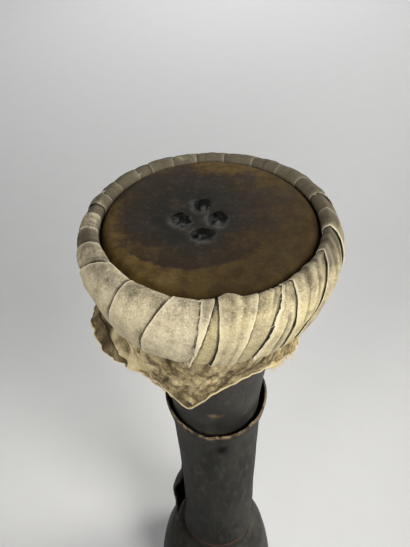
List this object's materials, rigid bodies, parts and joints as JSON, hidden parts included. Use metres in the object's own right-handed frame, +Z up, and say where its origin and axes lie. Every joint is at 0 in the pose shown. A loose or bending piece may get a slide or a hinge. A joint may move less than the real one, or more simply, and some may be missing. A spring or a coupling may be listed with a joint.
{
  "type": "ritual drum",
  "caption": "Tall hollow wooden drum with a slim neck and bell foot, hide head held by a cloth-bound ring, wax lumps on the head and a hide sleeve round the neck.",
  "frame": {"origin": "centre of the foot's underside, on the drum's axis", "axes": "+Z up along the drum's axis from the foot to the head, -Y towards the side seen in the picture, +X to its right"},
  "size_m": [0.2027, 0.1974, 0.7209],
  "materials": {
    "blackened_wood": "smoke-blackened carved hardwood, worn satin",
    "head_hide": "untanned hide, brown at the rim and darkened in the middle",
    "binding_cloth": "undyed cotton strips, soiled and frayed",
    "sleeve_hide": "blackened hide with raw tan edges",
    "tuning_wax": "dark beeswax and resin, satin"
  },
  "bodies": {
    "root": {"drum_body": "blackened_wood", "drum_hide": "head_hide", "head_ring": "binding_cloth", "neck_sleeve": "sleeve_hide", "wax_lump_far": "tuning_wax", "wax_lump_near": "tuning_wax", "wax_lump_left": "tuning_wax", "wax_lump_right": "tuning_wax"}
  },
  "joints": []
}
